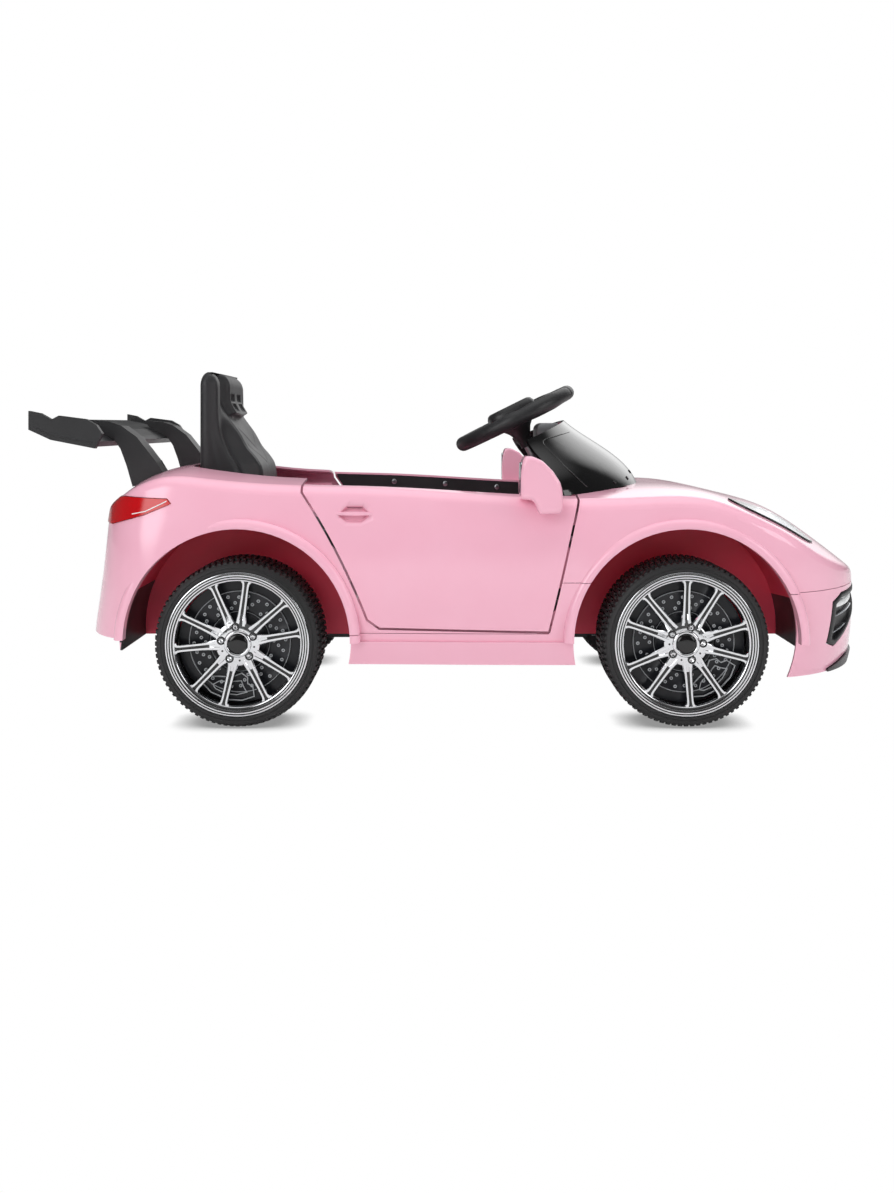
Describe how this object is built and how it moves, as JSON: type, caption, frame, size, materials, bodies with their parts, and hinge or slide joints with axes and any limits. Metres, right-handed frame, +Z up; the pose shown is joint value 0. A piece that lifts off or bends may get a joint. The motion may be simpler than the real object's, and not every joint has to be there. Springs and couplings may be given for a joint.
{
  "type": "electric ride-on car",
  "caption": "Child's electric ride-on sports car: moulded body with opening doors, bucket seat, rear wing, chromed spoked wheels and linked steering.",
  "frame": {"origin": "on the floor below the middle of the car's box", "axes": "+X towards the nose, +Y towards the car's left side, +Z up"},
  "size_m": [1.1101, 0.538, 0.46],
  "materials": {
    "pink_body": "glossy moulded, self-coloured",
    "black_plastic": "satin moulded",
    "gloss_black": "high gloss",
    "seat_black": "leather-grained moulding",
    "chrome": "plated plastic",
    "tyre_black": "moulded, matt",
    "disc_black": "satin moulded",
    "red_lens": "gloss translucent",
    "clear_lens": "clear gloss",
    "reflector": "bright moulded",
    "white_lamp": "milky",
    "steel": "zinc plated",
    "grey_plastic": "satin moulded",
    "red_button": "satin moulded",
    "battery_case": "moulded"
  },
  "bodies": {
    "chassis": {"battery": "battery_case", "binnacle": "grey_plastic", "body_shell": "pink_body", "charging_socket": "black_plastic", "chassis_frame": "black_plastic", "chassis_screws": "steel", "column_bushes": "black_plastic", "control_box": "battery_case", "dash_panel": "black_plastic", "drive_unit_left": "black_plastic", "drive_unit_right": "black_plastic", "front_axle_beam": "steel", "front_bumper": "pink_body", "front_lip": "black_plastic", "headlight_housings": "reflector", "headlight_lenses": "clear_lens", "hinge_pins": "steel", "light_strips": "white_lamp", "rear_axle": "steel", "rear_wing": "black_plastic", "seat": "seat_black", "side_skirts": "pink_body", "tail_lights": "red_lens", "tub": "pink_body", "vent_bezels": "gloss_black", "windscreen_cowl": "gloss_black", "wing_struts": "black_plastic"},
    "wheel_rear_right": {"tyre_rear_right": "tyre_black", "rim_rear_right": "chrome", "brake_disc_rear_right": "disc_black", "hub_cap_rear_right": "disc_black"},
    "wheel_rear_left": {"tyre_rear_left": "tyre_black", "rim_rear_left": "chrome", "brake_disc_rear_left": "disc_black", "hub_cap_rear_left": "disc_black"},
    "wheel_front_right": {"tyre_front_right": "tyre_black", "rim_front_right": "chrome", "brake_disc_front_right": "disc_black", "hub_cap_front_right": "disc_black"},
    "wheel_front_left": {"tyre_front_left": "tyre_black", "rim_front_left": "chrome", "brake_disc_front_left": "disc_black", "hub_cap_front_left": "disc_black"},
    "knuckle_right": {"steering_knuckle_right": "steel"},
    "knuckle_left": {"steering_knuckle_left": "steel"},
    "tie_rod": {"tie_rod": "steel"},
    "steering": {"steering_column": "steel", "steering_wheel": "black_plastic", "hub_pad": "black_plastic"},
    "horn_button": {"horn_button": "red_button"},
    "music_button": {"music_button": "red_button"},
    "door_right": {"door_skin_right": "pink_body", "door_liner_right": "black_plastic", "mirror_housing_right": "pink_body"},
    "door_left": {"door_skin_left": "pink_body", "door_liner_left": "black_plastic", "mirror_housing_left": "pink_body"},
    "accelerator_pedal": {"accelerator_pedal": "black_plastic"},
    "start_button": {"start_button": "red_button"},
    "direction_switch": {"direction_switch": "black_plastic"}
  },
  "joints": [
    {"name": "rear_right_wheel_spin", "type": "hinge", "parent": "chassis", "child": "wheel_rear_right", "pos_m": [-0.289, -0.197, 0.107], "axis": [0, 1, 0], "continuous": true},
    {"name": "rear_left_wheel_spin", "type": "hinge", "parent": "chassis", "child": "wheel_rear_left", "pos_m": [-0.289, 0.197, 0.107], "axis": [0, 1, 0], "continuous": true},
    {"name": "front_right_wheel_spin", "type": "hinge", "parent": "knuckle_right", "child": "wheel_front_right", "pos_m": [0.283, -0.197, 0.107], "axis": [0, 1, 0], "continuous": true},
    {"name": "front_left_wheel_spin", "type": "hinge", "parent": "knuckle_left", "child": "wheel_front_left", "pos_m": [0.283, 0.197, 0.107], "axis": [0, 1, 0], "continuous": true},
    {"name": "steering_turn", "type": "hinge", "parent": "chassis", "child": "steering", "pos_m": [0.0732, 0, 0.4036], "axis": [-0.4446, 0, 0.8957], "range_deg": [-35, 35]},
    {"name": "right_knuckle_steer", "type": "hinge", "parent": "chassis", "child": "knuckle_right", "pos_m": [0.283, -0.14, 0.107], "axis": [0, 0, 1], "range_deg": [-18.01, 18.01]},
    {"name": "left_knuckle_steer", "type": "hinge", "parent": "chassis", "child": "knuckle_left", "pos_m": [0.283, 0.14, 0.107], "axis": [0, 0, 1], "range_deg": [-18.01, 18.01]},
    {"name": "tie_rod_slide", "type": "slide", "parent": "chassis", "child": "tie_rod", "axis": [0, 1, 0], "range_m": [-0.01392, 0.01392]},
    {"name": "right_door_hinge", "type": "hinge", "parent": "chassis", "child": "door_right", "pos_m": [0.14, -0.225, 0.207], "axis": [0.2257, 0, 0.9742], "range_deg": [0, 50]},
    {"name": "left_door_hinge", "type": "hinge", "parent": "chassis", "child": "door_left", "pos_m": [0.14, 0.225, 0.207], "axis": [-0.2257, 0, -0.9742], "range_deg": [0, 50]},
    {"name": "horn_press", "type": "slide", "parent": "steering", "child": "horn_button", "axis": [0.4446, 0, -0.8957], "range_m": [0, 0.002], "stiffness_N_per_m": 300, "springref_m": -0.002},
    {"name": "music_press", "type": "slide", "parent": "steering", "child": "music_button", "axis": [0.4446, 0, -0.8957], "range_m": [0, 0.002], "stiffness_N_per_m": 300, "springref_m": -0.002},
    {"name": "accelerator_press", "type": "hinge", "parent": "chassis", "child": "accelerator_pedal", "pos_m": [0.111, -0.058, 0.109], "axis": [0, 1, 0], "range_deg": [0, 12], "stiffness_Nm_per_rad": 0.6, "springref_deg": -17.19},
    {"name": "start_press", "type": "slide", "parent": "chassis", "child": "start_button", "axis": [1, 0, 0], "range_m": [0, 0.002], "stiffness_N_per_m": 300, "springref_m": -0.002},
    {"name": "direction_rock", "type": "hinge", "parent": "chassis", "child": "direction_switch", "pos_m": [0.142, 0.07, 0.32], "axis": [0, 1, 0], "range_deg": [-7, 7]}
  ],
  "couplings": [
    {"joint": "right_knuckle_steer", "follows": "steering_turn", "ratio": 0.51429},
    {"joint": "left_knuckle_steer", "follows": "steering_turn", "ratio": 0.51429},
    {"joint": "tie_rod_slide", "follows": "steering_turn", "m_per_rad": -0.022764}
  ]
}
